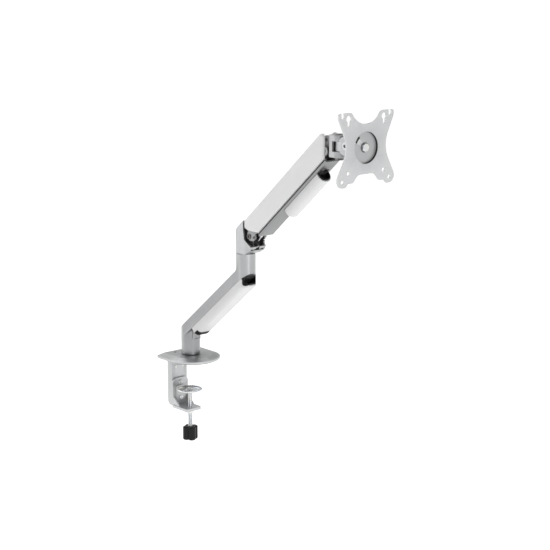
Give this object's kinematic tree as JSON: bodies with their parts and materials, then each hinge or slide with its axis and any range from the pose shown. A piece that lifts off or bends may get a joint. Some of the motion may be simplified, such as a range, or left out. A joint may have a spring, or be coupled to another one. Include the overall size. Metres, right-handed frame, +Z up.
{
  "type": "monitor arm",
  "caption": "Desk-clamp monitor arm: swivelling base, sloping lower arm, sprung level-keeping upper arm, tilting head and a monitor plate.",
  "frame": {"origin": "where the base swivel axis meets the desk's top surface, on the underside of the desk pad", "axes": "+Z up along the base swivel; +X the way the arm reaches; +Y to the arm's left"},
  "size_m": [0.4995, 0.1222, 0.636],
  "materials": {
    "cast_silver": "fine satin silver powder coat",
    "steel_silver": "fine satin silver powder coat",
    "white_cover": "satin white moulded plastic",
    "zinc": "bright zinc plating",
    "black_plastic": "matte black moulded plastic",
    "dark_steel": "black oxide steel",
    "nylon": "off-white nylon",
    "rubber_pad": "soft black foam rubber",
    "spring_black": "black lacquered tube"
  },
  "bodies": {
    "base": {"base_plate": "steel_silver", "desk_pad": "rubber_pad", "base_shaft": "zinc", "base_shaft_screw": "dark_steel", "flange_screws": "zinc", "stop_screw": "dark_steel", "upper_bracket": "steel_silver", "lower_bracket": "steel_silver", "foot_nut": "zinc", "bracket_screws": "zinc", "edge_screws": "zinc"},
    "clamp_pad": {"clamp_disc": "zinc"},
    "clamp_spindle": {"spindle": "zinc", "knob": "black_plastic", "disc_retainer": "zinc"},
    "lower_arm": {"lower_arm": "cast_silver", "base_bush": "black_plastic", "elbow_bush": "black_plastic", "lower_cable_cover": "white_cover", "lower_cable_guide": "black_plastic", "upper_cable_guide": "black_plastic"},
    "elbow": {"elbow_yoke": "cast_silver", "elbow_shaft": "zinc", "elbow_shaft_screw": "dark_steel", "link_foot_pin": "dark_steel", "spring_foot_pin": "dark_steel", "pivot_guards": "black_plastic"},
    "upper_arm": {"upper_frame": "cast_silver", "top_cover": "white_cover", "root_screws": "dark_steel", "lift_pin": "dark_steel", "lift_washers": "black_plastic", "head_pin": "dark_steel", "head_washers": "black_plastic", "cable_clip_cover": "white_cover", "clip_mouth_liner": "black_plastic"},
    "link": {"levelling_link": "dark_steel"},
    "spring_rod": {"spring_rod": "zinc", "rod_end": "zinc"},
    "spring_head": {"spring_anchor": "zinc", "spring_head_pin": "zinc", "spring_tube": "spring_black"},
    "adjuster": {"adjusting_screw": "dark_steel", "adjuster_clip": "dark_steel"},
    "head": {"head_bracket": "cast_silver", "link_head_pin": "dark_steel", "pan_bolt": "zinc", "pan_nut": "zinc"},
    "knuckle": {"tilt_knuckle": "cast_silver", "pan_sleeve": "black_plastic", "pan_washers": "nylon", "tilt_bolt": "zinc", "tilt_nut": "zinc", "tilt_washers": "nylon"},
    "carrier": {"tilt_carrier": "cast_silver", "turn_bolt": "zinc", "turn_washer": "black_plastic"},
    "monitor_plate": {"vesa_plate": "steel_silver", "front_washer": "dark_steel"}
  },
  "joints": [
    {"name": "base_swivel", "type": "hinge", "parent": "base", "child": "lower_arm", "pos_m": [0, 0, 0.03], "axis": [0, 0, 1], "range_deg": [-90, 90]},
    {"name": "elbow_swivel", "type": "hinge", "parent": "lower_arm", "child": "elbow", "pos_m": [0.1575, 0, 0.205], "axis": [0, 0, 1], "range_deg": [-120, 120]},
    {"name": "arm_lift", "type": "hinge", "parent": "elbow", "child": "upper_arm", "pos_m": [0.181, 0, 0.25], "axis": [0, -1, 0], "range_deg": [-58, 2]},
    {"name": "link_pivot", "type": "hinge", "parent": "elbow", "child": "link", "pos_m": [0.181, 0, 0.2675], "axis": [0, -1, 0], "range_deg": [-58, 2]},
    {"name": "head_level", "type": "hinge", "parent": "upper_arm", "child": "head", "pos_m": [0.36968, 0, 0.41401], "axis": [0, -1, 0], "range_deg": [-2, 58]},
    {"name": "spring_stroke", "type": "slide", "parent": "upper_arm", "child": "spring_rod", "axis": [0.7187, 0, 0.6953], "range_m": [-0.0006, 0.0133]},
    {"name": "tension_turn", "type": "hinge", "parent": "upper_arm", "child": "adjuster", "pos_m": [0.35419, 0, 0.38915], "axis": [0.7547, 0, 0.6561], "range_deg": [-1801, 1801]},
    {"name": "tension_travel", "type": "slide", "parent": "upper_arm", "child": "spring_head", "axis": [0.7547, 0, 0.6561], "range_m": [-0.005, 0.005]},
    {"name": "pan", "type": "hinge", "parent": "head", "child": "knuckle", "pos_m": [0.3905, 0, 0.423], "axis": [0, 0, 1], "range_deg": [-45, 45]},
    {"name": "tilt", "type": "hinge", "parent": "knuckle", "child": "carrier", "pos_m": [0.4175, 0, 0.426], "axis": [0, -1, 0], "range_deg": [-45, 80]},
    {"name": "plate_rotation", "type": "hinge", "parent": "carrier", "child": "monitor_plate", "pos_m": [0.449, 0, 0.426], "axis": [1, 0, 0], "continuous": true},
    {"name": "clamp_travel", "type": "slide", "parent": "base", "child": "clamp_pad", "axis": [0, 0, 1], "range_m": [-0.02, 0.024]},
    {"name": "clamp_turn", "type": "hinge", "parent": "clamp_pad", "child": "clamp_spindle", "pos_m": [-0.004, 0, -0.07], "axis": [0, 0, 1], "range_deg": [-5761, 6913]}
  ],
  "couplings": [
    {"joint": "link_pivot", "follows": "arm_lift", "ratio": 1},
    {"joint": "head_level", "follows": "arm_lift", "ratio": -1},
    {"joint": "spring_stroke", "follows": "arm_lift", "m_per_rad": -0.01298},
    {"joint": "tension_turn", "follows": "tension_travel", "rad_per_m": -6283.2},
    {"joint": "clamp_turn", "follows": "clamp_travel", "rad_per_m": 5026.5}
  ]
}
